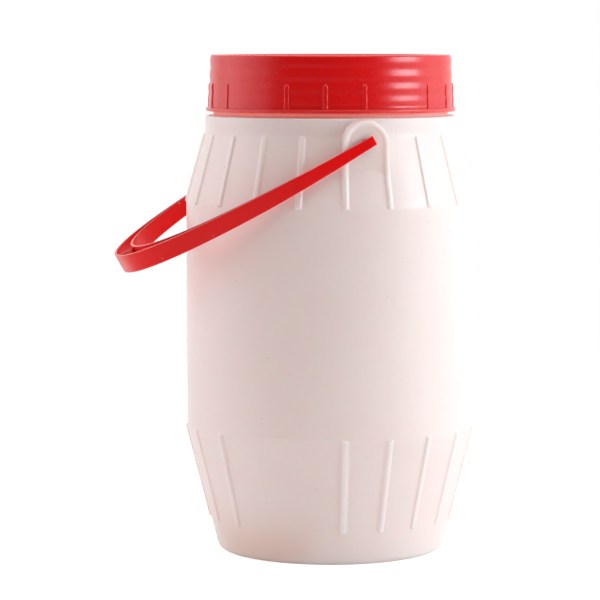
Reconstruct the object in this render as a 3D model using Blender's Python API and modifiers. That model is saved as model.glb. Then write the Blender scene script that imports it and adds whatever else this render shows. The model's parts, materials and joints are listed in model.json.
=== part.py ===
# Five-litre barrel-shaped food bucket: translucent blow-moulded body, red screw lid, red bail handle.
# Metres. +Z up, the origin on the body's axis at its resting face, the ears and the hinge axis along Y.
# The handle hangs towards -X, as it rests against the body's shoulder.
import math

import bmesh
import bpy
from mathutils import Matrix, Vector

# body: outline radii and heights
BARREL_R = 0.0840
FOOT_R = 0.0654
LOWER_CORNER_Z = 0.0728
UPPER_CORNER_Z = 0.2040
SHOULDER_R = 0.0728
SHOULDER_Z = 0.2440
SHOULDER_TOP_Z = 0.2537
SHOULDER_EDGE_R = 0.0013
HEEL_R = 0.0050
CORNER_SOFTEN = 0.0022
NECK_R = 0.0682
NECK_TOP_Z = 0.2840
ROUND_STEPS = 80

# ribs on the two cones, one every 18 degrees, half a pitch off the ears
RIB_PITCH_DEG = 18.0
RIB_COUNT = 20
RIB_WIDTH = 0.0037
RIB_PROUD = 0.0011
RIB_ROOT = 0.0030
RIB_EDGE = 0.0007
UPPER_RIB_Z = (0.2036, 0.2436)
LOWER_RIB_Z = (0.0190, 0.0735)
EAR_AZIMUTHS_DEG = (-90.0, 90.0)
LABEL_RIB_OFFSETS_DEG = (-27.0, -45.0)

# ears: flat pads with an arched bead whose legs run down the upper cone
PIVOT_Z = 0.2395
PAD_Y = 0.0780
PAD_INNER_Y = 0.0600
PAD_R = 0.0138
PAD_LOW_Z = 0.2180
BEAD_ARCH_R = 0.0120
BEAD_R = 0.0020
BEAD_PROUD = 0.0013
BEAD_LEG_DEG = 9.0
BEAD_LOW_Z = 0.2036
BEAD_KNEE_Z = 0.2275
ARCH_STEPS = 14
HOLE_R = 0.0024
HOLE_END_Y = 0.0725

# lid: cap with a flange, a waved skirt and short grip fins
LID_GAP = 0.0004
LID_FLANGE_R = 0.0725
LID_LOW_Z = 0.2562
LID_FLANGE_TOP_Z = 0.2582
LID_SKIRT_LOW_R = 0.0710
LID_SKIRT_HIGH_R = 0.0699
LID_EDGE_Z = 0.2860
LID_TOP_Z = 0.2886
LID_EDGE_R = 0.0026
LID_WAVE_Z = (0.2660, 0.2728, 0.2796)
LID_WAVE_HALF = 0.0034
LID_WAVE_DEPTH = 0.0004
LID_RIM_R = 0.0635
LID_PANEL_R = 0.0620
LID_PANEL_Z = 0.2874
FIN_WIDTH = 0.0026
FIN_PROUD = 0.0006
FIN_ROOT = 0.0012
FIN_Z = (0.2578, 0.2722)
FIN_PITCH_DEG = 18.0
FIN_START_DEG = -107.1
FIN_COUNT = 20
FIN_SKIP_EVERY = 4
FIN_SKIP_AT = 2
FIN_EDGE = 0.0004

# handle: strap loop in its own plane, reach u away from the hinge and half-width v along the hinge
HANDLE_TILT_DEG = 29.5
HANDLE_V = 0.0815
HANDLE_INNER_V = 0.0797
HANDLE_REACH = 0.1430
HANDLE_INNER_REACH = 0.1306
HANDLE_STRAIGHT = 0.0140
HANDLE_END_U = -0.0048
LOOP_POWER_U = 1.742
LOOP_POWER_V = 2.054
STRAP_WIDTHS = ((-0.0070, 0.0053), (0.0640, 0.0091), (0.1440, 0.0111))
WALL = 0.0015
CHANNEL_FLOOR = 0.0016
CHANNEL_START_U = 0.0800
WEB_HALF = 0.0007
PEG_R = 0.0022
PEG_END_Y = 0.0728
LOOP_STEPS = 56

# how far a cutting block runs past what it cuts, and the fill colours
BLOCK_REACH = 0.0200
RED = (0.78, 0.012, 0.016, 1.0)
MILKY = (0.86, 0.80, 0.77, 1.0)


def clear_scene():
    for item in list(bpy.data.objects):
        bpy.data.objects.remove(item)


def new_collection(name):
    group = bpy.data.collections.new(name)
    bpy.context.scene.collection.children.link(group)
    return group


def new_material(name, colour, roughness):
    material = bpy.data.materials.new(name)
    material.use_nodes = True
    shader = material.node_tree.nodes["Principled BSDF"]
    shader.inputs["Base Color"].default_value = colour
    shader.inputs["Roughness"].default_value = roughness
    return material


def add_object(name, bm, group):
    bmesh.ops.recalc_face_normals(bm, faces=bm.faces)
    mesh = bpy.data.meshes.new(name)
    bm.to_mesh(mesh)
    bm.free()
    item = bpy.data.objects.new(name, mesh)
    group.objects.link(item)
    return item


def add_cutter(name, bm, group):
    item = add_object(name, bm, group)
    item.hide_render = True
    item.display_type = "WIRE"
    return item


def boolean(item, operand, operation):
    modifier = item.modifiers.new(operand.name, "BOOLEAN")
    modifier.operation = operation
    modifier.solver = "EXACT"
    modifier.object = operand


def revolve(name, profile, group):
    """A profile of (radius, height) points, from the axis at the top down its outer side, turned round Z."""
    bm = bmesh.new()
    verts = [bm.verts.new((radius, 0.0, height)) for radius, height in profile]
    for first, second in zip(verts, verts[1:]):
        bm.edges.new((first, second))
    mesh = bpy.data.meshes.new(name)
    bm.to_mesh(mesh)
    bm.free()
    item = bpy.data.objects.new(name, mesh)
    group.objects.link(item)
    screw = item.modifiers.new("turn", "SCREW")
    screw.angle = 2.0 * math.pi
    screw.steps = ROUND_STEPS
    screw.render_steps = ROUND_STEPS
    screw.use_merge_vertices = True
    screw.merge_threshold = 0.00005
    return item


def arc(centre, radius, start_deg, end_deg, steps):
    """Points of an arc in the profile plane, angles from +radius towards +height."""
    points = []
    for step in range(steps + 1):
        angle = math.radians(start_deg + (end_deg - start_deg) * step / steps)
        points.append((centre[0] + radius * math.cos(angle), centre[1] + radius * math.sin(angle)))
    return points


def blend(height, low, high):
    """The radius at a height on the straight line through two profile points."""
    share = (height - low[1]) / (high[1] - low[1])
    return low[0] + (high[0] - low[0]) * share


def cone_radius(height):
    """Radius of the body's outline at a height, the corners left sharp."""
    if height < LOWER_CORNER_Z:
        return blend(height, (FOOT_R, 0.0), (BARREL_R, LOWER_CORNER_Z))
    if height < UPPER_CORNER_Z:
        return BARREL_R
    if height < SHOULDER_Z:
        return blend(height, (BARREL_R, UPPER_CORNER_Z), (SHOULDER_R, SHOULDER_Z))
    return SHOULDER_R


def body_profile():
    slope = math.atan2(BARREL_R - FOOT_R, LOWER_CORNER_Z)
    heel_x = FOOT_R + HEEL_R * math.tan(slope) - HEEL_R / math.cos(slope)
    edge_x = SHOULDER_R - SHOULDER_EDGE_R
    edge_z = SHOULDER_TOP_Z - SHOULDER_EDGE_R
    points = [(0.0, NECK_TOP_Z), (NECK_R, NECK_TOP_Z), (NECK_R, SHOULDER_TOP_Z)]
    points += arc((edge_x, edge_z), SHOULDER_EDGE_R, 90.0, 0.0, 3)
    for corner in (SHOULDER_Z, UPPER_CORNER_Z, LOWER_CORNER_Z):
        for shift in (CORNER_SOFTEN, -CORNER_SOFTEN):
            points.append((cone_radius(corner + shift), corner + shift))
    points += arc((heel_x, HEEL_R), HEEL_R, -math.degrees(slope), -90.0, 4)
    points.append((0.0, 0.0))
    return points


def lid_profile():
    points = [(0.0, LID_PANEL_Z), (LID_PANEL_R, LID_PANEL_Z), (LID_RIM_R, LID_TOP_Z)]
    points += arc((LID_SKIRT_HIGH_R - LID_EDGE_R, LID_EDGE_Z), LID_EDGE_R, 90.0, 0.0, 4)
    for crest in reversed(LID_WAVE_Z):
        for height, depth in ((crest + LID_WAVE_HALF, LID_WAVE_DEPTH), (crest, 0.0)):
            radius = blend(height, (LID_SKIRT_LOW_R, LID_FLANGE_TOP_Z), (LID_SKIRT_HIGH_R, LID_EDGE_Z))
            points.append((radius - depth, height))
    points.append((LID_SKIRT_LOW_R, LID_FLANGE_TOP_Z + LID_GAP))
    points.append((LID_FLANGE_R, LID_FLANGE_TOP_Z))
    points.append((LID_FLANGE_R, LID_LOW_Z))
    points.append((NECK_R + LID_GAP, LID_LOW_Z))
    points.append((NECK_R + LID_GAP, NECK_TOP_Z + LID_GAP))
    points.append((0.0, NECK_TOP_Z + LID_GAP))
    return points


def add_bar(bm, azimuth_deg, foot, head, width, proud, root, edge):
    """A bar lying on the outline from foot to head, both (radius, height), its outer edges rounded."""
    radial = Vector((math.cos(math.radians(azimuth_deg)), math.sin(math.radians(azimuth_deg)), 0.0))
    low = radial * foot[0] + Vector((0.0, 0.0, foot[1]))
    high = radial * head[0] + Vector((0.0, 0.0, head[1]))
    along = (high - low).normalized()
    side = along.cross(radial).normalized()
    outward = side.cross(along).normalized()
    frame = Matrix((side, along, outward)).transposed().to_4x4()
    middle = (low + high) / 2.0 + outward * (proud - root) / 2.0
    frame.translation = middle
    made = bmesh.ops.create_cube(bm, size=1.0)
    size = Vector((width, (high - low).length, proud + root))
    bmesh.ops.scale(bm, vec=size, verts=made["verts"])
    top = (proud + root) / 2.0
    edges = set()
    for vert in made["verts"]:
        for link in vert.link_edges:
            if all(abs(end.co.z - top) < 1e-7 for end in link.verts):
                edges.add(link)
    lower_end = -(high - low).length / 2.0
    rounded = [e for e in edges if not all(abs(v.co.y - lower_end) < 1e-7 for v in e.verts)]
    verts = set(made["verts"])
    cut = bmesh.ops.bevel(bm, geom=rounded, offset=edge, segments=2, profile=0.5, affect="EDGES")
    verts = {v for v in verts if v.is_valid} | set(cut["verts"])
    bmesh.ops.transform(bm, matrix=frame, verts=list(verts))


def is_ear_leg(azimuth_deg):
    for ear in EAR_AZIMUTHS_DEG:
        gap = (azimuth_deg - ear + 180.0) % 360.0 - 180.0
        if abs(gap) < RIB_PITCH_DEG * 0.6:
            return True
    return False


def is_label_gap(azimuth_deg):
    for ear in EAR_AZIMUTHS_DEG:
        for offset in LABEL_RIB_OFFSETS_DEG:
            gap = (azimuth_deg - ear - offset + 180.0) % 360.0 - 180.0
            if abs(gap) < RIB_PITCH_DEG * 0.25:
                return True
    return False


def rib_bars():
    bm = bmesh.new()
    for index in range(RIB_COUNT):
        azimuth = EAR_AZIMUTHS_DEG[0] + RIB_PITCH_DEG * (index + 0.5)
        if not is_ear_leg(azimuth):
            foot, head = [(cone_radius(z), z) for z in UPPER_RIB_Z]
            add_bar(bm, azimuth, foot, head, RIB_WIDTH, RIB_PROUD, RIB_ROOT, RIB_EDGE)
        if not is_label_gap(azimuth):
            low, high = LOWER_RIB_Z
            foot = (cone_radius(low), low)
            head = (blend(high, (FOOT_R, 0.0), (BARREL_R, LOWER_CORNER_Z)), high)
            add_bar(bm, azimuth, head, foot, RIB_WIDTH, RIB_PROUD, RIB_ROOT, RIB_EDGE)
    return bm


def add_prism(bm, outline, place, low, high):
    """A closed outline of (a, b) pairs pushed from low to high; place(a, b, c) gives the point in space."""
    face = bm.faces.new([bm.verts.new(place(a, b, low)) for a, b in outline])
    pushed = bmesh.ops.extrude_face_region(bm, geom=[face], use_keep_orig=True)
    moved = [v for v in pushed["geom"] if isinstance(v, bmesh.types.BMVert)]
    shift = Vector(place(0.0, 0.0, high)) - Vector(place(0.0, 0.0, low))
    bmesh.ops.translate(bm, vec=shift, verts=moved)


def pad_blocks():
    bm = bmesh.new()
    outline = [(PAD_R, PAD_LOW_Z)]
    for step in range(ARCH_STEPS + 1):
        angle = math.pi * step / ARCH_STEPS
        outline.append((PAD_R * math.cos(angle), PIVOT_Z + PAD_R * math.sin(angle)))
    outline.append((-PAD_R, PAD_LOW_Z))
    add_prism(bm, outline, lambda a, b, c: (a, c, b), -PAD_Y, -PAD_INNER_Y)
    add_prism(bm, outline, lambda a, b, c: (a, c, b), PAD_INNER_Y, PAD_Y)
    return bm


def bead_path():
    """Centre line of one arched bead on the -Y ear: up a leg, round the arch, down the other leg."""
    sink = BEAD_R - BEAD_PROUD
    leg = math.radians(BEAD_LEG_DEG)
    right = []
    for height in (BEAD_LOW_Z, BEAD_KNEE_Z - 0.0060):
        radius = cone_radius(height) - sink
        right.append((radius * math.sin(leg), -radius * math.cos(leg), height))
    right.append((BEAD_ARCH_R, sink - PAD_Y, BEAD_KNEE_Z))
    left = [(-x, y, z) for x, y, z in reversed(right)]
    arch = []
    for step in range(ARCH_STEPS + 1):
        angle = math.pi * step / ARCH_STEPS
        arch.append((BEAD_ARCH_R * math.cos(angle), sink - PAD_Y, PIVOT_Z + BEAD_ARCH_R * math.sin(angle)))
    return right + arch + left


def tube_object(name, paths, radius, group):
    curve = bpy.data.curves.new(name, "CURVE")
    curve.dimensions = "3D"
    curve.bevel_depth = radius
    curve.bevel_resolution = 1
    curve.use_fill_caps = True
    for path in paths:
        line = curve.splines.new("POLY")
        line.points.add(len(path) - 1)
        for point, place in zip(line.points, path):
            point.co = (*place, 1.0)
    drawn = bpy.data.objects.new(name + "_line", curve)
    bpy.context.scene.collection.objects.link(drawn)
    bpy.context.view_layer.update()
    mesh = bpy.data.meshes.new_from_object(drawn.evaluated_get(bpy.context.evaluated_depsgraph_get()))
    bpy.data.objects.remove(drawn)
    bm = bmesh.new()
    bm.from_mesh(mesh)
    bmesh.ops.remove_doubles(bm, verts=bm.verts, dist=0.00002)
    return add_cutter(name, bm, group)


def add_pin(bm, radius, start_y, end_y, height):
    """A round pin along Y at the hinge height."""
    turn = Matrix.Rotation(math.pi / 2.0, 4, "X")
    turn.translation = (0.0, (start_y + end_y) / 2.0, height)
    bmesh.ops.create_cone(
        bm,
        cap_ends=True,
        segments=24,
        radius1=radius,
        radius2=radius,
        depth=abs(end_y - start_y),
        matrix=turn,
    )


def fin_bars():
    bm = bmesh.new()
    for index in range(FIN_COUNT):
        if index % FIN_SKIP_EVERY == FIN_SKIP_AT:
            continue
        azimuth = FIN_START_DEG + FIN_PITCH_DEG * index
        ends = []
        for height in FIN_Z:
            radius = blend(height, (LID_SKIRT_LOW_R, LID_FLANGE_TOP_Z), (LID_SKIRT_HIGH_R, LID_EDGE_Z))
            ends.append((radius, height))
        add_bar(bm, azimuth, ends[0], ends[1], FIN_WIDTH, FIN_PROUD, FIN_ROOT, FIN_EDGE)
    return bm


def loop_curve(reach, half_width):
    """Half of the strap's line as (u, v) points, from the straight part at the ear to the tip."""
    points = [(HANDLE_END_U, half_width), (0.0, half_width)]
    for step in range(LOOP_STEPS + 1):
        angle = 0.5 * math.pi * step / LOOP_STEPS
        u = HANDLE_STRAIGHT + (reach - HANDLE_STRAIGHT) * math.sin(angle) ** (2.0 / LOOP_POWER_U)
        v = half_width * max(math.cos(angle), 0.0) ** (2.0 / LOOP_POWER_V)
        points.append((u, v if step < LOOP_STEPS else 0.0))
    return points


def strap_outline():
    outer = loop_curve(HANDLE_REACH, HANDLE_V)
    inner = loop_curve(HANDLE_INNER_REACH, HANDLE_INNER_V)
    ring = outer + [(u, -v) for u, v in reversed(outer[:-1])]
    ring += [(u, -v) for u, v in inner[:-1]] + list(reversed(inner))
    return ring


def offset_curve(points, distance):
    """The half line moved sideways: a positive distance moves it towards the loop's inside."""
    moved = []
    for index, (u, v) in enumerate(points):
        before = points[max(index - 1, 0)]
        after = points[min(index + 1, len(points) - 1)]
        if index == len(points) - 1:
            after = (before[0], -before[1])
        along = Vector((after[0] - before[0], after[1] - before[1])).normalized()
        moved.append((u + along.y * distance, v - along.x * distance))
    return moved


def between(points, start_u, end_v):
    """The part of a half line from reach start_u down to half-width end_v, its two ends cut square."""
    kept = [p for p in points if p[0] > start_u and p[1] > end_v]
    before = points[points.index(kept[0]) - 1]
    share = (start_u - before[0]) / (kept[0][0] - before[0])
    first = (start_u, before[1] + (kept[0][1] - before[1]) * share)
    return [first] + kept + [(kept[-1][0], end_v)]


def channel_outline():
    """Half of the grip's open channel, from where its two walls part to the web at the tip."""
    outer = offset_curve(loop_curve(HANDLE_REACH, HANDLE_V), WALL)
    inner = offset_curve(loop_curve(HANDLE_INNER_REACH, HANDLE_INNER_V), -WALL)
    outer = between(outer, CHANNEL_START_U, WEB_HALF)
    inner = between(inner, CHANNEL_START_U, WEB_HALF)
    return outer + list(reversed(inner))


def handle_place(u, v, n):
    """Handle-plane coordinates to the handle's own frame, whose origin is on the hinge axis."""
    return (-u, v, n)


def hang(item):
    """Puts a piece made in the handle's frame at the hinge, tilted down to where the handle rests."""
    item.location = (0.0, 0.0, PIVOT_Z)
    item.rotation_euler = (0.0, -math.radians(HANDLE_TILT_DEG), 0.0)
    return item


def strap_side_outline():
    """Side view of the strap as (u, n): it widens from the ears to the grip."""
    upper = [(u, width / 2.0) for u, width in STRAP_WIDTHS]
    return upper + [(u, -n) for u, n in reversed(upper)]


def build_handle(group, cutters):
    bm = bmesh.new()
    add_prism(bm, strap_outline(), handle_place, -BLOCK_REACH, BLOCK_REACH)
    handle = hang(add_object("handle", bm, group))

    bm = bmesh.new()
    reach = HANDLE_V + BLOCK_REACH
    add_prism(bm, strap_side_outline(), lambda a, b, c: handle_place(a, c, b), -reach, reach)
    boolean(handle, hang(add_cutter("strap_side", bm, cutters)), "INTERSECT")

    bm = bmesh.new()
    outline = channel_outline()
    floor = CHANNEL_FLOOR - STRAP_WIDTHS[1][1] / 2.0
    add_prism(bm, outline, handle_place, floor, BLOCK_REACH)
    add_prism(bm, [(u, -v) for u, v in outline], handle_place, floor, BLOCK_REACH)
    boolean(handle, hang(add_cutter("grip_channel", bm, cutters)), "DIFFERENCE")

    bm = bmesh.new()
    inside = (HANDLE_V + HANDLE_INNER_V) / 2.0
    add_pin(bm, PEG_R, -inside, -PEG_END_Y, 0.0)
    add_pin(bm, PEG_R, PEG_END_Y, inside, 0.0)
    boolean(handle, hang(add_cutter("pegs", bm, cutters)), "UNION")
    return handle


def build_body(group, cutters):
    body = revolve("body", body_profile(), group)
    boolean(body, add_cutter("pads", pad_blocks(), cutters), "UNION")
    bm = bmesh.new()
    reach = PAD_Y + BLOCK_REACH
    add_pin(bm, HOLE_R, -reach, -HOLE_END_Y, PIVOT_Z)
    add_pin(bm, HOLE_R, HOLE_END_Y, reach, PIVOT_Z)
    boolean(body, add_cutter("peg_holes", bm, cutters), "DIFFERENCE")
    boolean(body, add_cutter("ribs", rib_bars(), cutters), "UNION")
    near = bead_path()
    far = [(-x, -y, z) for x, y, z in near]
    boolean(body, tube_object("beads", [near, far], BEAD_R, cutters), "UNION")
    return body


def build_lid(group, cutters):
    lid = revolve("lid", lid_profile(), group)
    boolean(lid, add_cutter("fins", fin_bars(), cutters), "UNION")
    return lid


clear_scene()
parts = new_collection("food_bucket")
tools = new_collection("guides")
milky = new_material("natural_hdpe", MILKY, 0.42)
red = new_material("red_pp", RED, 0.28)
red_handle = new_material("red_handle_pp", RED, 0.3)
build_body(parts, tools).data.materials.append(milky)
build_lid(parts, tools).data.materials.append(red)
build_handle(parts, tools).data.materials.append(red_handle)
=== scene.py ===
import json
import math

import bmesh
import bpy
from mathutils import Matrix, Vector

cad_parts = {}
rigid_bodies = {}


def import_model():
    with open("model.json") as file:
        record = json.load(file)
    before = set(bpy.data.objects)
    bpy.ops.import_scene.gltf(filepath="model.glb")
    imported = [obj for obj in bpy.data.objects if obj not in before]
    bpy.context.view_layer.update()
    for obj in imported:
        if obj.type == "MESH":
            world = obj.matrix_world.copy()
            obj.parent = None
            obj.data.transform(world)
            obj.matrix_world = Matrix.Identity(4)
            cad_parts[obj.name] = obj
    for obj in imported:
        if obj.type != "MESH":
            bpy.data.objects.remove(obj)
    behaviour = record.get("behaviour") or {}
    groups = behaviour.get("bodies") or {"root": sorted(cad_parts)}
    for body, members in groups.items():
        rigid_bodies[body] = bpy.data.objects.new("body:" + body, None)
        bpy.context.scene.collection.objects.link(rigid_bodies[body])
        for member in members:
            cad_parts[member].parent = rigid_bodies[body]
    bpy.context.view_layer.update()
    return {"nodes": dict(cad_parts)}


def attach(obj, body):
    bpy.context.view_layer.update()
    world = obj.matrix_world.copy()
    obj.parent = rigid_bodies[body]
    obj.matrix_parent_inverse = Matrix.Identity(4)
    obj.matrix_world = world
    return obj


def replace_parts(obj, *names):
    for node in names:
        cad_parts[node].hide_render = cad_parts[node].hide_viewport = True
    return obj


# A five-litre food bucket: milky blow-moulded body, red screw lid, red bail handle. All lengths in metres.
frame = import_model()
print("frame loaded:", sorted(frame["nodes"]))


def fromHex(text):  # an sRGB hex colour as linear RGBA
    parts = [int(text[i:i + 2], 16) / 255.0 for i in (1, 3, 5)]
    linear = [c / 12.92 if c <= 0.04045 else ((c + 0.055) / 1.055) ** 2.4 for c in parts]
    return (*linear, 1.0)


def addNode(tree, kind, values=None, links=None, **options):
    # one node with its options, its socket values and the outputs that feed it
    node = tree.nodes.new(kind)
    for name, value in options.items():
        setattr(node, name, value)
    for socket, value in (values or {}).items():
        node.inputs[socket].default_value = value
    for socket, source in (links or {}).items():
        tree.links.new(source, node.inputs[socket])
    return node


def newMaterial(name):
    material = bpy.data.materials.new(name)
    material.use_nodes = True
    material.node_tree.nodes.clear()
    return material, material.node_tree


def ramp(low, high, value):  # smooth 0 to 1 between low and high
    share = min(max((value - low) / (high - low), 0.0), 1.0)
    return share * share * (3.0 - 2.0 * share)


def evenSteps(start, end, count):
    return [start + (end - start) * step / count for step in range(1, count + 1)]


def arcPoints(centre, radius, startDeg, endDeg, steps):
    points = []
    for step in range(steps + 1):
        angle = math.radians(startDeg + (endDeg - startDeg) * step / steps)
        points.append((centre[0] + radius * math.cos(angle), centre[1] + radius * math.sin(angle)))
    return points


def angleGap(first, second):  # signed degrees from second to first, -180 to 180
    return (first - second + 180.0) % 360.0 - 180.0


def barField(across, along, half, low, high, roundLow, roundHigh):
    # signed distance to a bar's outline, negative inside; each end is round or square
    if roundHigh and along > high - half:
        return math.hypot(across, along - high + half) - half
    if roundLow and along < low + half:
        return math.hypot(across, low + half - along) - half
    return max(abs(across) - half, low - along, along - high)


def makeObject(name, bm, material, smooth=True):
    mesh = bpy.data.meshes.new(name)
    for face in bm.faces:
        face.smooth = smooth
    bm.to_mesh(mesh)
    bm.free()
    mesh.materials.append(material)
    item = bpy.data.objects.new(name, mesh)
    bpy.context.scene.collection.objects.link(item)
    return item


def turnOutline(points, pitches, perPitch, startDeg):
    # a wire of (radius, height) points turned round Z: one pitch is spun, then copied round and merged
    bm = bmesh.new()
    verts = [bm.verts.new((radius, 0.0, height)) for radius, height in points]
    edges = [bm.edges.new(pair) for pair in zip(verts, verts[1:])]
    bmesh.ops.spin(bm, geom=verts + edges, cent=(0, 0, 0), axis=(0, 0, 1), angle=math.tau / pitches,
                   steps=perPitch, use_merge=False, use_duplicate=False)
    firstTurn = Matrix.Rotation(math.radians(startDeg), 3, "Z")
    bmesh.ops.rotate(bm, verts=bm.verts, cent=(0, 0, 0), matrix=firstTurn)
    pitch = bm.verts[:] + bm.edges[:] + bm.faces[:]
    for index in range(1, pitches):
        copied = bmesh.ops.duplicate(bm, geom=pitch)["geom"]
        turn = Matrix.Rotation(math.tau * index / pitches, 3, "Z")
        bmesh.ops.rotate(bm, verts=[v for v in copied if isinstance(v, bmesh.types.BMVert)],
                         cent=(0, 0, 0), matrix=turn)
    bmesh.ops.remove_doubles(bm, verts=bm.verts, dist=0.000004)
    return bm


def gatherColumns(bm, start, pitch, offsets, evenNear=()):
    # slides the spun columns so that they lie close together at each rib;
    # half a pitch holds len(offsets) steps
    count = len(offsets)
    for vert in bm.verts:
        radius = math.hypot(vert.co.x, vert.co.y)
        if radius < 0.0001:
            continue
        angle = math.degrees(math.atan2(vert.co.y, vert.co.x))
        index = round(angleGap(angle, start) / pitch)
        centre = start + index * pitch
        gap = angleGap(angle, centre)
        step = min(int(round(abs(gap) / (pitch / 2.0) * count)), count)
        towardEven = any(abs(angleGap(centre, ear)) < pitch * 0.6
                         and abs(angleGap(angle, ear)) <= pitch * 0.5 + 0.01 for ear in evenNear)
        moved = abs(gap) if towardEven else ([0.0] + offsets)[step]
        turned = math.radians(centre + math.copysign(moved, gap))
        vert.co.x = radius * math.cos(turned)
        vert.co.y = radius * math.sin(turned)


# Natural high-density polyethylene, blow-moulded: waxy and milky, soft sheen, faint die streaks down the
# parison, a slight orange peel from the sand-blasted mould, a few dark specks of dirt in the corner line,
# a painted warm shade low on one side of the foot, and a painted red glow on the neck below the lid.
# the glow colour and its strength paint an emitted red glow on the neck below the lid, standing in for light
# that the lid lets through
milkSpec = {"milk": "#f4e4df", "shade": "#f1dcd6", "crest": "#f9efec", "foot": "#e8c6b8",
            "speck": "#8a5a4c", "glow": "#ff8976", "crestShare": 0.25, "footShadeShare": 0.62, "speckShare": 0.6,
            "shadeSide": (-0.800, -0.600, 0.0), "shadeReaches": (0.055, 0.0665), "footShadeHeights": (0.036, 0.006),
            "cornerLine": (0.0722, 0.0016), "neckGap": (0.2536, 0.2546), "paintedNeckGlow": 0.38,
            "roughness": (0.30, 0.44), "cloudSize": 0.045, "streakSize": 0.0035, "peelSize": 0.0016}


def makeNaturalHdpe(spec):
    material, tree = newMaterial("naturalHdpeBlowMoulded")
    place = addNode(tree, "ShaderNodeTexCoord").outputs["Object"]
    cloud = addNode(tree, "ShaderNodeTexNoise", {"Scale": 1.0 / spec["cloudSize"], "Detail": 4.0,
                                                 "Roughness": 0.55}, {"Vector": place})
    # streaks run down the wall: the height is squeezed, so the noise is long in Z
    drawn = addNode(tree, "ShaderNodeMapping", {"Scale": (1.0, 1.0, 0.035)}, {"Vector": place})
    streak = addNode(tree, "ShaderNodeTexNoise", {"Scale": 1.0 / spec["streakSize"], "Detail": 2.0,
                                                  "Roughness": 0.5}, {"Vector": drawn.outputs[0]})
    peel = addNode(tree, "ShaderNodeTexNoise", {"Scale": 1.0 / spec["peelSize"], "Detail": 2.0},
                   {"Vector": place})
    mix = addNode(tree, "ShaderNodeMix", {6: fromHex(spec["milk"]), 7: fromHex(spec["shade"])},
                  {0: cloud.outputs[0]}, data_type="RGBA")
    height = addNode(tree, "ShaderNodeSeparateXYZ", links={0: place})
    # painted shade: a warmer, darker tint towards the bottom of the foot, strongest on one side
    footShadeStart, footShadeFull = spec["footShadeHeights"]
    low = addNode(tree, "ShaderNodeMapRange", {1: footShadeStart, 2: footShadeFull, 3: 0.0, 4: spec["footShadeShare"]},
                  {0: height.outputs["Z"]}, interpolation_type="SMOOTHSTEP")
    # painted shade: towards the bottom, on one side, the foot is tinted warmer and darker, as shade falls
    # there
    shadeStart, shadeFull = spec["shadeReaches"]
    side = addNode(tree, "ShaderNodeVectorMath", {1: spec["shadeSide"]}, {0: place},
                   operation="DOT_PRODUCT")
    thick = addNode(tree, "ShaderNodeMapRange", {1: shadeStart, 2: shadeFull}, {0: side.outputs["Value"]},
                    interpolation_type="SMOOTHSTEP")
    shadeShare = addNode(tree, "ShaderNodeMath", links={0: low.outputs[0], 1: thick.outputs[0]},
                        operation="MULTIPLY")
    footShaded = addNode(tree, "ShaderNodeMix", {7: fromHex(spec["foot"])},
                   {0: shadeShare.outputs[0], 6: mix.outputs[2]}, data_type="RGBA")
    crest = addNode(tree, "ShaderNodeAttribute", attribute_name="raised")
    crestShare = addNode(tree, "ShaderNodeMath", {1: spec["crestShare"]}, {0: crest.outputs["Fac"]},
                         operation="MULTIPLY")
    pale = addNode(tree, "ShaderNodeMix", {7: fromHex(spec["crest"])},
                   {0: crestShare.outputs[0], 6: footShaded.outputs[2]}, data_type="RGBA")
    # specks about half a millimetre wide, mostly where the lower cone meets the barrel
    dots = addNode(tree, "ShaderNodeTexVoronoi", {"Scale": 95.0, "Randomness": 1.0}, {"Vector": place})
    lineHeight, lineHalf = spec["cornerLine"]
    nearLine = addNode(tree, "ShaderNodeMath", {1: lineHeight, 2: lineHalf},
                       {0: height.outputs["Z"]}, operation="COMPARE")
    grow = addNode(tree, "ShaderNodeMapRange", {3: 0.028, 4: 0.060}, {0: nearLine.outputs[0]})
    isSpeck = addNode(tree, "ShaderNodeMath", links={0: dots.outputs["Distance"], 1: grow.outputs[0]},
                      operation="LESS_THAN")
    speckShare = addNode(tree, "ShaderNodeMath", {1: spec["speckShare"]}, {0: isSpeck.outputs[0]},
                         operation="MULTIPLY")
    colour = addNode(tree, "ShaderNodeMix", {7: fromHex(spec["speck"])},
                     {0: speckShare.outputs[0], 6: pale.outputs[2]}, data_type="RGBA")
    smooth, dull = spec["roughness"]
    rough = addNode(tree, "ShaderNodeMapRange", {1: 0.3, 2: 0.7, 3: smooth, 4: dull},
                    {0: streak.outputs[0]})
    peelBump = addNode(tree, "ShaderNodeBump", {"Strength": 0.12, "Distance": 0.0002},
                       {"Height": peel.outputs[0]})
    bump = addNode(tree, "ShaderNodeBump", {"Strength": 0.25, "Distance": 0.0003},
                   {"Height": streak.outputs[0], "Normal": peelBump.outputs[0]})
    # painted glow: the neck emits red light in the gap below the lid, standing in for light that the lid lets
    # through
    gapLow, gapHigh = spec["neckGap"]
    glow = addNode(tree, "ShaderNodeMapRange", {1: gapLow, 2: gapHigh, 3: 0.0, 4: spec["paintedNeckGlow"]},
                   {0: height.outputs["Z"]})
    shader = addNode(tree, "ShaderNodeBsdfPrincipled",
                     {"IOR": 1.53, "Subsurface Weight": 0.55, "Subsurface Radius": (1.0, 0.46, 0.40),
                      "Subsurface Scale": 0.019, "Emission Color": fromHex(spec["glow"])},
                     {"Base Color": colour.outputs[2], "Roughness": rough.outputs[0],
                      "Normal": bump.outputs[0], "Emission Strength": glow.outputs[0]})
    addNode(tree, "ShaderNodeOutputMaterial", links={"Surface": shader.outputs[0]})
    return material
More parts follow.
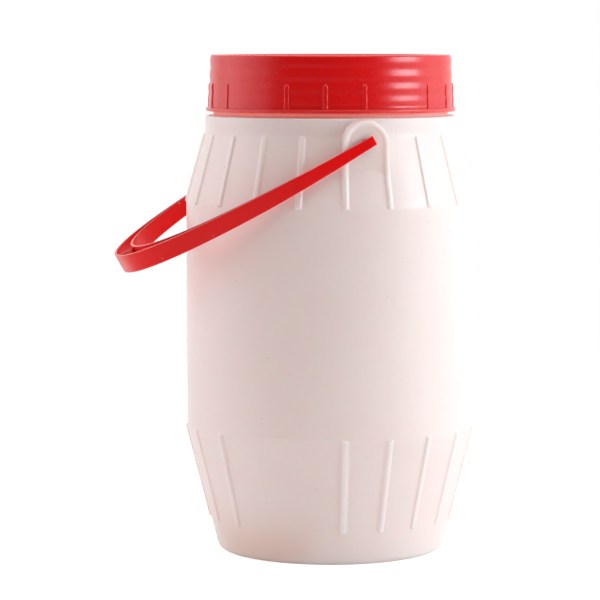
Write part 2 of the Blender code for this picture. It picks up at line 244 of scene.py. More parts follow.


# Red polypropylene, injection-moulded against polished steel: soft gloss, fine flow lines, paler worn edges on
# the lid, painted highlights and a painted reflection on the handle's edges and tip, painted shade in its
# channel, and specks of dust.
redLidSpec = {"name": "redPpLid", "red": "#e6070b", "deep": "#d80609", "wearAndSheen": "#f47068",
              "paintedShade": "#8c0a08", "dustColour": "#f4c4bc", "dust": 0.022, "roughness": (0.24, 0.30),
              "cloudSize": 0.03, "flowSize": 0.0016, "flowAlong": (0.12, 0.12, 1.0), "flowBump": 0.04,
              "reflect": 0.50}
redHandleSpec = {"name": "redPpHandle", "red": "#ee0406", "deep": "#e20305", "wearAndSheen": "#f6988e",
                 "paintedShade": "#8c0a08", "dustColour": "#f4c4bc", "dust": 0.045, "roughness": (0.28, 0.36),
                 "cloudSize": 0.03, "flowSize": 0.0012, "flowAlong": (0.15, 0.15, 1.0), "flowBump": 0.03,
                 "reflect": 0.24}


def makeRedPp(spec):
    material, tree = newMaterial(spec["name"])
    place = addNode(tree, "ShaderNodeTexCoord").outputs["Object"]
    cloud = addNode(tree, "ShaderNodeTexNoise", {"Scale": 1.0 / spec["cloudSize"], "Detail": 3.0},
                    {"Vector": place})
    drawn = addNode(tree, "ShaderNodeMapping", {"Scale": spec["flowAlong"]}, {"Vector": place})
    flow = addNode(tree, "ShaderNodeTexNoise", {"Scale": 1.0 / spec["flowSize"], "Detail": 2.0},
                   {"Vector": drawn.outputs[0]})
    body = addNode(tree, "ShaderNodeMix", {6: fromHex(spec["red"]), 7: fromHex(spec["deep"])},
                   {0: cloud.outputs[0]}, data_type="RGBA")
    # real wear on the lid's edges; on the handle, a painted highlight along the top edges and a painted
    # reflection on the tip's outer face
    edge = addNode(tree, "ShaderNodeAttribute", attribute_name="wearAndSheen")
    patchy = addNode(tree, "ShaderNodeMapRange", {1: 0.35, 2: 0.6, 3: 0.35, 4: 1.0}, {0: cloud.outputs[0]})
    wearAndSheenShare = addNode(tree, "ShaderNodeMath", links={0: edge.outputs["Fac"], 1: patchy.outputs[0]},
                        operation="MULTIPLY")
    # painted shade: darkens the handle's channel floor and inner rim
    paintedShade = addNode(tree, "ShaderNodeAttribute", attribute_name="paintedShade")
    channelShaded = addNode(tree, "ShaderNodeMix", {7: fromHex(spec["paintedShade"])},
                    {0: paintedShade.outputs["Fac"], 6: body.outputs[2]}, data_type="RGBA")
    wearAndSheen = addNode(tree, "ShaderNodeMix", {7: fromHex(spec["wearAndSheen"])},
                   {0: wearAndSheenShare.outputs[0], 6: channelShaded.outputs[2]}, data_type="RGBA")
    # specks of pale dust about a third of a millimetre wide
    dust = addNode(tree, "ShaderNodeTexVoronoi", {"Scale": 130.0}, {"Vector": place})
    isDust = addNode(tree, "ShaderNodeMath", {1: spec["dust"]}, {0: dust.outputs["Distance"]},
                     operation="LESS_THAN")
    colour = addNode(tree, "ShaderNodeMix", {7: fromHex(spec["dustColour"])},
                     {0: isDust.outputs[0], 6: wearAndSheen.outputs[2]}, data_type="RGBA")
    low, high = spec["roughness"]
    rough = addNode(tree, "ShaderNodeMapRange", {1: 0.3, 2: 0.7, 3: low, 4: high}, {0: cloud.outputs[0]})
    bump = addNode(tree, "ShaderNodeBump", {"Strength": spec["flowBump"], "Distance": 0.0003},
                   {"Height": flow.outputs[0]})
    shader = addNode(tree, "ShaderNodeBsdfPrincipled",
                     {"IOR": 1.49, "Specular IOR Level": spec["reflect"], "Subsurface Weight": 0.15,
                      "Subsurface Radius": (1.0, 0.2, 0.15), "Subsurface Scale": 0.004},
                     {"Base Color": colour.outputs[2], "Roughness": rough.outputs[0],
                      "Normal": bump.outputs[0]})
    addNode(tree, "ShaderNodeOutputMaterial", links={"Surface": shader.outputs[0]})
    return material


bodySpec = {
    "corners": [(0.0654, 0.0), (0.0840, 0.0728), (0.0840, 0.2040), (0.0728, 0.2440), (0.0728, 0.2600)],
    "cornerSoften": 0.0022, "heel": 0.0050, "shoulderTop": 0.2537, "shoulderEdge": 0.0013,
    "neckRadius": 0.0682, "neckTop": 0.2840,
    "ribPitch": 18.0, "ribHalf": 0.00175, "ribProud": 0.0010, "ribRamp": (0.0005, -0.0008),
    "upperRib": (0.2036, 0.2436), "lowerRib": (0.0190, 0.0738), "ears": (-90.0, 90.0),
    "labelRibs": (-27.0, -45.0), "ghostProud": 0.00012, "panelDepth": 0.00022, "panelEdges": (-61.3, -10.7),
    "panelTop": 0.0740,
    "pivot": 0.2395, "padY": 0.0780, "archRadius": 0.0120, "beadProud": 0.0013, "beadHalf": 0.00195,
    "knee": 0.2275, "legDeg": 9.0, "holeRadius": 0.0026, "holeDepth": 0.0057,
    # steps round Z in half a rib pitch, in degrees off the rib's middle
    "columns": [0.55, 0.85, 1.02, 1.18, 1.34, 1.50, 1.66, 1.82, 2.05, 2.60, 3.60, 5.20, 7.00, 9.00],
    # heights where rows lie close together: the ribs' ends and the two corners
    "rows": [(0.2524, 0.2466, 2), (0.2446, 3), (0.2412, 12), (0.2064, 5), (0.2022, 13), (0.2012, 1),
             (0.0762, 4), (0.0706, 18), (0.0225, 4), (0.0180, 14), (0.0090, 2)],
    "earCell": 0.00034, "earReach": 12.4}


def bodyOutlineRadius(z):
    corners = bodySpec["corners"]
    soften = bodySpec["cornerSoften"]
    edge = bodySpec["shoulderEdge"]
    over = z - bodySpec["shoulderTop"] + edge
    if over > 0.0:  # the rounded edge of the shoulder
        return corners[-1][0] - edge + math.sqrt(max(edge ** 2 - over ** 2, 0.0))
    slopes = [(b[0] - a[0]) / (b[1] - a[1]) for a, b in zip(corners, corners[1:])]
    for (radius, height), below, above in zip(corners[1:-1], slopes, slopes[1:]):
        off = z - height
        if abs(off) < soften:  # a parabola rounds the corner
            bend = (above - below) / (4.0 * soften)
            return radius + (below + above) / 2.0 * off + bend * (off ** 2 + soften ** 2)
    for (low, high), slope in zip(zip(corners, corners[1:]), slopes):
        if z <= high[1]:
            return low[0] + slope * (z - low[1])
    return corners[-1][0]


def bodyOutline():
    spec = bodySpec
    slope = (spec["corners"][1][0] - spec["corners"][0][0]) / spec["corners"][1][1]
    lean = math.atan(slope)
    heel = spec["heel"]
    heelX = spec["corners"][0][0] + heel * math.tan(lean) - heel / math.cos(lean)
    edge = spec["shoulderEdge"]
    points = [(0.0, spec["neckTop"]), (0.03, spec["neckTop"]), (spec["neckRadius"], spec["neckTop"])]
    points += [(spec["neckRadius"], 0.2650), (spec["neckRadius"], spec["shoulderTop"])]
    points += [(0.0700, spec["shoulderTop"])]
    points += arcPoints((spec["corners"][-1][0] - edge, spec["shoulderTop"] - edge), edge, 90.0, 0.0, 6)
    first = spec["rows"][0]
    heights = evenSteps(first[0], first[1], first[2])
    for low, count in spec["rows"][1:]:
        heights += evenSteps(heights[-1], low, count)
    points += [(bodyOutlineRadius(z), z) for z in heights]
    points += arcPoints((heelX, heel), heel, -math.degrees(lean), -90.0, 8)
    points += [(0.050, 0.0), (0.030, 0.0), (0.0, 0.0)]
    return points


def earField(side, z):
    # signed distance from the middle of the ear's arched bead; side is metres off the ear's middle
    spec = bodySpec
    up = z - spec["pivot"]
    if up > 0.0:
        return math.hypot(side, up) - spec["archRadius"]
    if z > spec["knee"]:
        return abs(side) - spec["archRadius"]
    foot = spec["upperRib"][0]
    flare = spec["corners"][1][0] * math.sin(math.radians(spec["legDeg"])) - spec["archRadius"]
    share = (spec["knee"] - z) / (spec["knee"] - foot)
    return abs(side) - spec["archRadius"] - flare * share


def bodySurface(theta, z):
    # radius of the finished skin at an azimuth in degrees and a height, and how far it stands proud, 0 to 1
    spec = bodySpec
    base = bodyOutlineRadius(z)
    radius = base
    raised = 0.0
    rampOut, rampIn = spec["ribRamp"]
    ear = min(spec["ears"], key=lambda one: abs(angleGap(theta, one)))
    gap = angleGap(theta, ear)
    start, pitch = spec["ears"][0], spec["ribPitch"]
    rib = start + pitch * (math.floor((theta - start) / pitch) + 0.5)
    ribGap = angleGap(rib, ear)
    across = base * math.radians(angleGap(theta, rib))
    if z > 0.15 and abs(ribGap) > spec["ribPitch"] * 0.6:
        field = barField(across, z, spec["ribHalf"], *spec["upperRib"], False, True)
        raised = 1.0 - ramp(rampIn, rampOut, field)
        radius += spec["ribProud"] * raised
    if z < 0.15:
        proud = spec["ribProud"]
        if any(abs(ribGap - one) < 1.0 for one in spec["labelRibs"]):
            proud = spec["ghostProud"]
        low, high = spec["panelEdges"]
        side = max(base * math.radians(low - gap), base * math.radians(gap - high))
        panel = max(side, spec["lowerRib"][0] - z, z - spec["panelTop"])
        depth = spec["panelDepth"] * ramp(spec["lowerRib"][0] + 0.002, spec["lowerRib"][0] + 0.028, z)
        radius -= depth * (1.0 - ramp(-0.0002, 0.0003, panel))
        field = barField(across, z, spec["ribHalf"], *spec["lowerRib"], True, False)
        share = 1.0 - ramp(rampIn, rampOut, field)
        raised = share * proud / spec["ribProud"]
        radius += proud * share
    if z > 0.15 and abs(gap) < spec["earReach"] + 4.0:
        side = max(base, spec["padY"]) * math.tan(math.radians(gap))
        field = earField(side, z)
        pad = spec["padY"] / math.cos(math.radians(gap))
        wall = 1.0 - ramp(0.0007, 0.0021, field)
        lift = max(pad - base, 0.0)
        radius += lift * wall
        foot = 1.0 - ramp(-0.0003, 0.0005, spec["upperRib"][0] - z)
        bead = max(1.0 - (field / spec["beadHalf"]) ** 2, 0.0) ** 0.8
        raised = max(raised, bead * foot)
        radius += spec["beadProud"] * bead * foot
        hole = math.hypot(side, z - spec["pivot"])
        if hole < spec["holeRadius"]:
            radius -= spec["holeDepth"]
            raised = 0.0
    return radius, raised


def refineEars(bm):
    # short rows and columns inside each ear's window, so that the arch is smooth
    spec = bodySpec
    cell = spec["earCell"]
    top, bottom = spec["shoulderTop"] - 0.0001, spec["upperRib"][0] - 0.0017

    def inWindow(vert):
        if not bottom < vert.co.z < top or math.hypot(vert.co.x, vert.co.y) < 0.070:
            return False
        angle = math.degrees(math.atan2(vert.co.y, vert.co.x))
        return any(abs(angleGap(angle, ear)) < spec["earReach"] for ear in spec["ears"])

    groups = {}
    for edge in bm.edges:
        tall = abs(edge.verts[0].co.z - edge.verts[1].co.z)
        cuts = math.ceil(tall / cell - 0.3) - 1
        if tall > 0.00001 and cuts > 0 and all(inWindow(v) for v in edge.verts):
            groups.setdefault(cuts, []).append(edge)
    for cuts, edges in groups.items():
        bmesh.ops.subdivide_edges(bm, edges=edges, cuts=cuts, use_grid_fill=True)
    wide = []
    for edge in bm.edges:
        flat = abs(edge.verts[0].co.z - edge.verts[1].co.z) < 0.00001
        if flat and edge.calc_length() > cell * 1.6 and all(inWindow(v) for v in edge.verts):
            wide.append(edge)
    bmesh.ops.subdivide_edges(bm, edges=wide, cuts=2, use_grid_fill=True)


def makeBody(material):
    spec = bodySpec
    perPitch = 2 * len(spec["columns"])
    bm = turnOutline(bodyOutline(), int(round(360.0 / spec["ribPitch"])), perPitch, spec["ribPitch"] / 2.0)
    gatherColumns(bm, spec["ears"][0] + spec["ribPitch"] / 2.0, spec["ribPitch"], spec["columns"],
                  spec["ears"])
    refineEars(bm)
    bmesh.ops.recalc_face_normals(bm, faces=bm.faces)
    raisedLayer = bm.verts.layers.float.new("raised")
    for vert in bm.verts:
        z = vert.co.z
        if not 0.0085 < z < spec["shoulderTop"] - 0.0001 or math.hypot(vert.co.x, vert.co.y) < 0.0690:
            continue
        theta = math.degrees(math.atan2(vert.co.y, vert.co.x))
        radius, vert[raisedLayer] = bodySurface(theta, z)
        vert.co.x = radius * math.cos(math.radians(theta))
        vert.co.y = radius * math.sin(math.radians(theta))
    body = makeObject("bucketBody", bm, material)
    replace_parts(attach(body, "bucket"), "body")
    return body


lidSpec = {
    "gap": 0.0004, "neckRadius": 0.0682, "neckTop": 0.2840,
    "flangeRadius": 0.0725, "low": 0.2562, "flangeTop": 0.2582, "flangeEdge": 0.0004,
    "skirtLow": 0.0710, "skirtHigh": 0.0699, "edgeZ": 0.2875, "edgeRadius": 0.0011, "top": 0.2886,
    # the skirt's soft waves: the heights of their crests and the depth of the hollow below each;
    # then the band that leans in below the rim, and the fine rings above the flange
    "crests": (0.2848, 0.27702, 0.26994, 0.26285), "hollows": (0.00032, 0.00030, 0.00022, 0.00010),
    "domeWave": 0.0115, "domeDrop": 0.00038, "ringTop": 0.25924, "ringPitch": 0.00225, "ringDepth": 0.00006,
    "rimRadius": 0.0635, "panelRadius": 0.0620, "panelZ": 0.2874, "gateRadius": 0.0018, "gateProud": 0.0004,
    "finHalf": 0.0013, "finProud": 0.0006, "fin": (0.2578, 0.2724), "finStart": -107.1, "finPitch": 18.0,
    "finMissing": (2, 6, 10, 14, 18), "finRamp": (0.0002, -0.0004),
    "rimWorn": 0.12, "finWorn": 0.06, "flangeWorn": 0.25,
    "columns": [0.50, 0.72, 0.84, 0.95, 1.06, 1.17, 1.30, 1.70, 3.20, 5.00, 7.00, 9.00]}


def lidSkirtRadius(z):
    spec = lidSpec
    share = (z - spec["flangeTop"]) / (spec["edgeZ"] - spec["flangeTop"])
    radius = spec["skirtLow"] + (spec["skirtHigh"] - spec["skirtLow"]) * share
    if z >= spec["crests"][0]:  # the band below the rim leans in
        over = (z - spec["crests"][0]) / spec["domeWave"]
        return radius - spec["domeDrop"] * (0.5 - 0.5 * math.cos(math.tau * over))
    for high, low, hollow in zip(spec["crests"], spec["crests"][1:], spec["hollows"]):
        if z >= low:
            return radius - hollow * (0.5 - 0.5 * math.cos(math.tau * (high - z) / (high - low)))
    turn = (z - spec["ringTop"]) / spec["ringPitch"]  # fine rings above the flange
    rings = 1.0 - ramp(spec["crests"][-1] - spec["ringPitch"], spec["crests"][-1], z)
    ripple = spec["ringDepth"] * (0.5 - 0.5 * math.cos(math.tau * turn))
    return radius - rings * (spec["hollows"][-1] + ripple)


def lidSkirtHeights():
    # rows from the rim's edge down to the flange
    spec = lidSpec
    heights = evenSteps(spec["edgeZ"], spec["crests"][0], 7)
    for high, low in zip(spec["crests"], spec["crests"][1:]):
        heights += evenSteps(high, low, 14)
    return heights + evenSteps(spec["crests"][-1], spec["flangeTop"] + 0.0002, 30)


def makeLid(material):
    spec = lidSpec
    gateTop = spec["panelZ"] + spec["gateProud"]
    points = [(0.0, gateTop), (spec["gateRadius"] * 0.6, gateTop)]
    points += [(spec["gateRadius"], spec["panelZ"]), (0.02, spec["panelZ"]), (0.045, spec["panelZ"])]
    points += [(spec["panelRadius"] - 0.0006, spec["panelZ"])]
    points += [(spec["panelRadius"], spec["panelZ"] + 0.0001)]
    points += [(spec["rimRadius"] - 0.0002, spec["top"] - 0.0001)]
    points += [(spec["rimRadius"] + 0.0005, spec["top"])]
    edgeX = lidSkirtRadius(spec["edgeZ"]) - spec["edgeRadius"]
    points += arcPoints((edgeX, spec["edgeZ"]), spec["edgeRadius"], 90.0, 0.0, 9)
    points += [(lidSkirtRadius(z), z) for z in lidSkirtHeights()]
    edge = spec["flangeEdge"]
    points += arcPoints((spec["flangeRadius"] - edge, spec["flangeTop"] - edge), edge, 90.0, 0.0, 3)
    points += arcPoints((spec["flangeRadius"] - edge, spec["low"] + edge), edge, 0.0, -90.0, 3)
    inner = spec["neckRadius"] + spec["gap"]
    roof = spec["neckTop"] + spec["gap"]
    points += [(inner, spec["low"]), (inner, roof), (0.0, roof)]
    finPlaces = int(round(360.0 / spec["finPitch"]))
    bm = turnOutline(points, finPlaces, 2 * len(spec["columns"]), spec["finStart"])
    gatherColumns(bm, spec["finStart"], spec["finPitch"], spec["columns"])
    bmesh.ops.recalc_face_normals(bm, faces=bm.faces)
    wearAndSheenLayer = bm.verts.layers.float.new("wearAndSheen")
    for vert in bm.verts:
        z = vert.co.z
        radius = math.hypot(vert.co.x, vert.co.y)
        theta = math.degrees(math.atan2(vert.co.y, vert.co.x))
        wearAndSheen = spec["rimWorn"] * ramp(0.0600, 0.0640, radius) * ramp(spec["top"] - 0.0008, spec["top"], z)
        if radius > spec["skirtHigh"] - 0.0012 and spec["flangeTop"] < z < spec["edgeZ"]:
            index = round((theta - spec["finStart"]) / spec["finPitch"])
            across = radius * math.radians(angleGap(theta, spec["finStart"] + index * spec["finPitch"]))
            if index % finPlaces not in spec["finMissing"]:
                field = barField(across, z, spec["finHalf"], *spec["fin"], False, True)
                share = 1.0 - ramp(spec["finRamp"][1], spec["finRamp"][0], field)
                radius += spec["finProud"] * share
                wearAndSheen = max(wearAndSheen, spec["finWorn"] * math.exp(-((field + 0.0002) / 0.00035) ** 2))
        elif radius > spec["flangeRadius"] - 0.0003:
            wearAndSheen = spec["flangeWorn"]
        vert[wearAndSheenLayer] = wearAndSheen
        vert.co.x = radius * math.cos(math.radians(theta))
        vert.co.y = radius * math.sin(math.radians(theta))
    lid = makeObject("screwLid", bm, material)
    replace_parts(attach(lid, "bucket"), "lid")
    return lid


# The bail handle, made flat in its own plane: u is the reach from the hinge, v runs along the hinge and n
# stands on the plane.
handleSpec = {
    "pivot": 0.2395, "tiltDeg": 29.5, "half": 0.0815, "innerHalf": 0.0797, "reach": 0.1430,
    "innerReach": 0.1306, "straight": 0.0140, "endU": -0.0048, "powerU": 1.742, "powerV": 2.054,
    "widths": [(-0.0070, 0.0053), (0.0640, 0.0091), (0.1440, 0.0111)],
    # the channel starts as a fine slit between thin walls and opens towards the tip
    "wall": 0.0015, "thinWall": 0.00085, "slitU": 0.0440, "channelU": 0.0800, "floorN": -0.00295,
    "webHalf": 0.0007, "pegRadius": 0.0022, "pegEnd": 0.0728, "steps": 96, "edge": 0.00030, "rim": 0.0007,
    "floorCorners": (5, 6), "innerRimCorners": (7, 8), "topSheen": 0.5, "channelShadeShare": 0.85,
    # the painted reflection on the tip's outer face, a pale sheen of the bright backdrop at a grazing angle:
    # its middle along v, its half width, its share
    "tipSheen": (-0.005, 0.011, 0.7),
    "channelShadeEnds": (0.118, 0.130)}  # between these reaches the channel's painted shade ends and its inner rim takes the painted highlight


def strapHalfWidth(u):
    widths = handleSpec["widths"]
    for (startU, startW), (endU, endW) in zip(widths, widths[1:]):
        if u <= endU:
            break
    return (startW + (endW - startW) * (u - startU) / (endU - startU)) / 2.0


def strapLine(reach, half):
    # half of the strap's line, ear to tip, as (u, v)
    spec = handleSpec
    points = [(spec["endU"], half), (0.0, half), (spec["straight"] * 0.5, half)]
    for step in range(spec["steps"] + 1):
        angle = 0.5 * math.pi * step / spec["steps"]
        u = spec["straight"] + (reach - spec["straight"]) * math.sin(angle) ** (2.0 / spec["powerU"])
        v = half * max(math.cos(angle), 0.0) ** (2.0 / spec["powerV"])
        points.append((u, v if step < spec["steps"] else 0.0))
    return points


def shiftLine(points, side):
    # the line moved sideways by the wall's thickness, which grows from the slit's start to the open channel
    spec = handleSpec
    moved = []
    for index, (u, v) in enumerate(points):
        before = points[max(index - 1, 0)]
        after = points[min(index + 1, len(points) - 1)]
        if index == len(points) - 1:
            after = (before[0], -before[1])
        along = Vector((after[0] - before[0], after[1] - before[1])).normalized()
        share = ramp(spec["slitU"], spec["channelU"], u)
        distance = side * (spec["thinWall"] + (spec["wall"] - spec["thinWall"]) * share)
        moved.append((u + along.y * distance, v - along.x * distance))
    return moved


def between(first, second, share):
    return tuple(a + (b - a) * share for a, b in zip(first, second))


def strapSection(outer, outerTop, outerFloor, innerFloor, innerTop, inner, floor):
    # twelve corners round the strap; levels: 0 bottom, 1 top, 2 channel floor, 3 and 4 rows that keep
    # the tall faces flat up to their edges
    corners = [(outer, 0), (outer, 3), (outer, 4), (outer, 1), (outerTop, 1), (outerFloor, floor)]
    corners += [(innerFloor, floor), (innerTop, 1), (inner, 1), (inner, 4), (inner, 3), (inner, 0)]
    return [(*point, level) for point, level in corners]


def strapSections():
    spec = handleSpec
    outer = strapLine(spec["reach"], spec["half"])
    inner = strapLine(spec["innerReach"], spec["innerHalf"])
    lines = list(zip(outer, shiftLine(outer, 1.0), shiftLine(inner, -1.0), inner))
    sections = []
    for index, (o, ow, iw, i) in enumerate(lines):
        if o[0] <= spec["slitU"]:
            inside = [between(o, i, share) for share in (0.3, 0.45, 0.55, 0.7)]
            sections.append(strapSection(o, *inside, i, 1))
            continue
        if lines[index - 1][0][0] <= spec["slitU"]:  # the slit's end, shut just before it opens
            so, sow, siw, si = [between(now, was, 0.15) for now, was in zip(lines[index], lines[index - 1])]
            floorStart, floorEnd = between(sow, siw, 0.1), between(sow, siw, 0.9)
            sections.append(strapSection(so, sow, floorStart, floorEnd, siw, si, 1))
        sections.append(strapSection(o, ow, ow, iw, iw, i, 2))
    placed = []
    for section in sections:
        row = []
        for u, v, level in section:
            half = strapHalfWidth(u)
            n = (-half, half, spec["floorN"], -half + spec["rim"], half - spec["rim"])[level]
            row.append(Vector((-u, v, n)))
        placed.append(row)
    other = [[Vector((p.x, -p.y, p.z)) for p in row] for row in reversed(placed[:-1])]
    return placed + other


def makeHandle(material):
    spec = handleSpec
    sections = strapSections()
    bm = bmesh.new()
    corner = bm.verts.layers.int.new("corner")
    ring = []
    for index, place in enumerate(sections[0]):
        vert = bm.verts.new(place)
        vert[corner] = index
        ring.append(vert)
    edges = [bm.edges.new(pair) for pair in zip(ring, ring[1:] + ring[:1])]
    bm.faces.new(ring)
    for section in sections[1:]:
        made = bmesh.ops.extrude_edge_only(bm, edges=edges)["geom"]
        fresh = {item for item in made if isinstance(item, bmesh.types.BMVert)}
        edges = [item for item in made if isinstance(item, bmesh.types.BMEdge)
                 and item.verts[0] in fresh and item.verts[1] in fresh]
        for vert in fresh:
            vert.co = section[vert[corner]]
    bmesh.ops.holes_fill(bm, edges=edges, sides=12)
    bmesh.ops.recalc_face_normals(bm, faces=bm.faces)
    # the long edges and the two ends are rounded, the channel's floor isn't
    ends = set(ring) | {vert for edge in edges for vert in edge.verts}
    sharp = []
    for edge in bm.edges:
        first, second = edge.verts
        isLong = first[corner] == second[corner] and first[corner] not in spec["floorCorners"]
        isEnd = first in ends and second in ends
        if (isLong or isEnd) and edge.calc_face_angle(0.0) > math.radians(40.0):
            sharp.append(edge)
    bmesh.ops.bevel(bm, geom=sharp, offset=spec["edge"], offset_type="OFFSET", segments=3, profile=0.5,
                    affect="EDGES", material=-1, clamp_overlap=False)
    # the web across the channel at the tip
    web = bmesh.ops.create_cube(bm, size=1.0)["verts"]
    low, high = spec["floorN"] - 0.0005, strapHalfWidth(spec["reach"]) - 0.0008
    thick = spec["reach"] - spec["innerReach"] - spec["wall"]
    bmesh.ops.scale(bm, verts=web, vec=(thick, 2.0 * spec["webHalf"], high - low))
    middle = -(spec["reach"] + spec["innerReach"]) / 2.0
    bmesh.ops.translate(bm, verts=web, vec=(middle, 0.0, (low + high) / 2.0))
    # the two snap-in pegs
    for side in (-1.0, 1.0):
        inside = (spec["half"] + spec["innerHalf"]) / 2.0
        turn = Matrix.Rotation(math.pi / 2.0, 4, "X")
        turn.translation = (0.0, side * (inside + spec["pegEnd"]) / 2.0, 0.0)
        bmesh.ops.create_cone(bm, cap_ends=True, segments=32, radius1=spec["pegRadius"],
                              radius2=spec["pegRadius"], depth=inside - spec["pegEnd"], matrix=turn)
    wearAndSheenLayer = bm.verts.layers.float.new("wearAndSheen")
    paintedShadeLayer = bm.verts.layers.float.new("paintedShade")
    # painted highlight along the strap's top edges, and a painted reflection of the bright backdrop on the
    # tip's outer face
    middle, half, share = spec["tipSheen"]
    for vert in bm.verts:
        u = -vert.co.x
        onTop = 1.0 - ramp(0.00003, 0.00028, strapHalfWidth(u) - vert.co.z)
        atTip = ramp(*spec["channelShadeEnds"], u)
        tipSheen = share * math.exp(-((vert.co.y - middle) / half) ** 2)
        tipSheen *= ramp(spec["reach"] - 0.0080, spec["reach"] - 0.0060, u)
        innerRim = vert[corner] in spec["innerRimCorners"]
        vert[wearAndSheenLayer] = max(spec["topSheen"] * onTop * (atTip if innerRim else 1.0), tipSheen)
        # painted shade in the channel: its floor and inner rim darken, fading out in the slit and towards the
        # tip
        if vert[corner] in spec["floorCorners"] or innerRim and onTop > 0.5:
            inSlit = ramp(spec["slitU"] - 0.002, spec["slitU"] + 0.004, u)
            vert[paintedShadeLayer] = spec["channelShadeShare"] * (1.0 - atTip) * inSlit
    tilt = Matrix.Rotation(-math.radians(spec["tiltDeg"]), 4, "Y")
    tilt.translation = (0.0, 0.0, spec["pivot"])
    bmesh.ops.transform(bm, matrix=tilt, verts=bm.verts)
    handle = makeObject("bailHandle", bm, material)
    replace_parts(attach(handle, "handle"), "handle")
    return handle


studioSpec = {
    "cameraAzimuth": -14.7, "cameraHeight": 0.302, "cameraDistance": 1.700, "cameraDown": 5.26,
    # the lens: the sensor's width times the focal length in pixels over the picture's width
    "cameraPan": -0.60, "lens": 36.0 * 2917.0 / 600.0, "aimHeight": 0.16,
    # what the object is lit by: a bright white sweep behind and beside it, a dim room in front, a lit table
    "sweepLight": 1.10, "roomLight": 0.11, "roomEdge": -0.60, "sweepEdge": 0.25,
    "floorLift": 0.78, "floorGlow": 0.12, "floorSize": 0.95,
    # each panel: degrees to the right of the camera, distance, height, width, tall, watts, colour
    "panels": {"keySoftbox": (86.0, 1.15, 0.42, 1.5, 1.1, 3.5, "#dcf4ff"),
               "keyStrip": (74.0, 1.15, 0.50, 0.56, 0.20, 5.2, "#e4f6ff"),
               "leftSoftbox": (-88.0, 1.30, 0.50, 1.5, 1.1, 4.2, "#f2f6ff"),
               "overheadSoftbox": (15.0, 0.62, 1.45, 1.2, 1.0, 7.3, "#fff4f0")}}


def makeFloor():
    material, tree = newMaterial("palePaperFloor")
    place = addNode(tree, "ShaderNodeTexCoord").outputs["Object"]
    grain = addNode(tree, "ShaderNodeTexNoise", {"Scale": 900.0, "Detail": 2.0}, {"Vector": place})
    paper = addNode(tree, "ShaderNodeMix", {6: fromHex("#efefef"), 7: fromHex("#e6e6e6")},
                    {0: grain.outputs[0]}, data_type="RGBA")
    # the paper shines to the camera, and only a little of that glow reaches the bucket
    path = addNode(tree, "ShaderNodeLightPath")
    lift = addNode(tree, "ShaderNodeMapRange", {3: studioSpec["floorGlow"], 4: studioSpec["floorLift"]},
                   {0: path.outputs["Is Camera Ray"]})
    shader = addNode(tree, "ShaderNodeBsdfPrincipled",
                     {"Roughness": 1.0, "Specular IOR Level": 0.0, "Emission Color": (1.0, 1.0, 1.0, 1.0)},
                     {"Base Color": paper.outputs[2], "Emission Strength": lift.outputs[0]})
    addNode(tree, "ShaderNodeOutputMaterial", links={"Surface": shader.outputs[0]})
    bm = bmesh.new()
    bmesh.ops.create_grid(bm, x_segments=8, y_segments=8, size=studioSpec["floorSize"])
    floor = makeObject("studioFloor", bm, material, smooth=False)


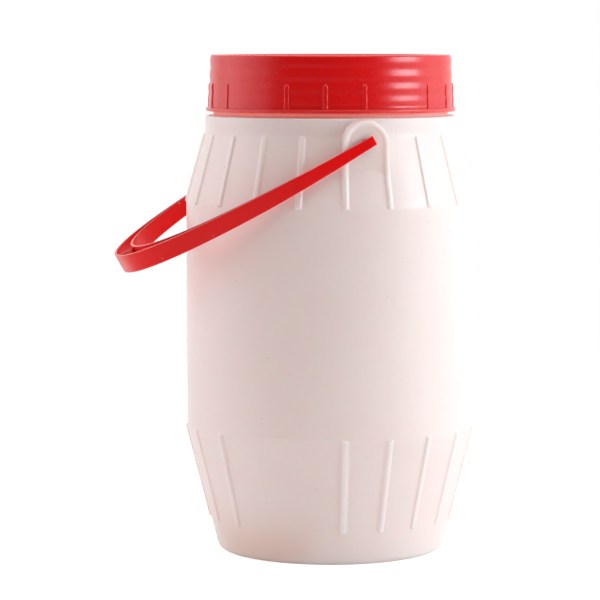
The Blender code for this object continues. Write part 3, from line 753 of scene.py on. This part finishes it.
def makeLights():
    spec = studioSpec
    for name, (right, away, height, wide, tall, watts, colour) in spec["panels"].items():
        light = bpy.data.lights.new(name, "AREA")
        light.shape = "RECTANGLE"
        light.size = wide
        light.size_y = tall
        light.energy = watts
        light.color = fromHex(colour)[:3]
        item = bpy.data.objects.new(name, light)
        bpy.context.scene.collection.objects.link(item)
        angle = math.radians(spec["cameraAzimuth"] + right)
        item.location = (math.sin(angle) * away, -math.cos(angle) * away, height)
        aim = Vector((0.0, 0.0, spec["aimHeight"])) - item.location
        item.rotation_euler = aim.to_track_quat("-Z", "Y").to_euler()
    world = bpy.data.worlds.new("studio")
    world.use_nodes = True
    tree = world.node_tree
    tree.nodes.clear()
    azimuth = math.radians(spec["cameraAzimuth"])
    ray = addNode(tree, "ShaderNodeTexCoord").outputs["Generated"]
    ahead = (-math.sin(azimuth), math.cos(azimuth), 0.0)
    behind = addNode(tree, "ShaderNodeVectorMath", {1: ahead}, {0: ray}, operation="DOT_PRODUCT")
    glow = addNode(tree, "ShaderNodeMapRange",
                   {1: spec["roomEdge"], 2: spec["sweepEdge"], 3: spec["roomLight"], 4: spec["sweepLight"]},
                   {0: behind.outputs["Value"]}, interpolation_type="SMOOTHSTEP")
    path = addNode(tree, "ShaderNodeLightPath")
    strength = addNode(tree, "ShaderNodeMix", {3: 1.0},
                       {0: path.outputs["Is Camera Ray"], 2: glow.outputs[0]}, data_type="FLOAT")
    sky = addNode(tree, "ShaderNodeBackground", {"Color": (1.0, 1.0, 1.0, 1.0)},
                  {"Strength": strength.outputs[0]})
    addNode(tree, "ShaderNodeOutputWorld", links={"Surface": sky.outputs[0]})
    bpy.context.scene.world = world


def makeCamera():
    spec = studioSpec
    camera = bpy.data.cameras.new("photoCamera")
    camera.lens = spec["lens"]
    camera.sensor_width = 36.0
    item = bpy.data.objects.new("photoCamera", camera)
    bpy.context.scene.collection.objects.link(item)
    azimuth = math.radians(spec["cameraAzimuth"])
    pan = math.radians(spec["cameraPan"])
    down = math.radians(spec["cameraDown"])
    ahead = Vector((-math.sin(azimuth), math.cos(azimuth), 0.0))
    right = Vector((math.cos(azimuth), math.sin(azimuth), 0.0))
    forward = ahead * math.cos(pan) + right * math.sin(pan)
    right = right * math.cos(pan) - ahead * math.sin(pan)
    look = forward * math.cos(down) - Vector((0.0, 0.0, math.sin(down)))
    up = Vector((0.0, 0.0, math.cos(down))) + forward * math.sin(down)
    place = Matrix((right, up, -look)).transposed().to_4x4()
    place.translation = (math.sin(azimuth) * spec["cameraDistance"],
                         -math.cos(azimuth) * spec["cameraDistance"], spec["cameraHeight"])
    item.matrix_world = place
    bpy.context.scene.camera = item


milky = makeNaturalHdpe(milkSpec)
lidRed = makeRedPp(redLidSpec)
handleRed = makeRedPp(redHandleSpec)
print("materials made")
bucketBody = makeBody(milky)
print("body:", len(bucketBody.data.polygons), "faces")
screwLid = makeLid(lidRed)
print("lid:", len(screwLid.data.polygons), "faces")
bailHandle = makeHandle(handleRed)
print("handle:", len(bailHandle.data.polygons), "faces")
makeFloor()
makeLights()
makeCamera()
bpy.context.scene.view_settings.view_transform = "Standard"
print("floor, light and camera made")
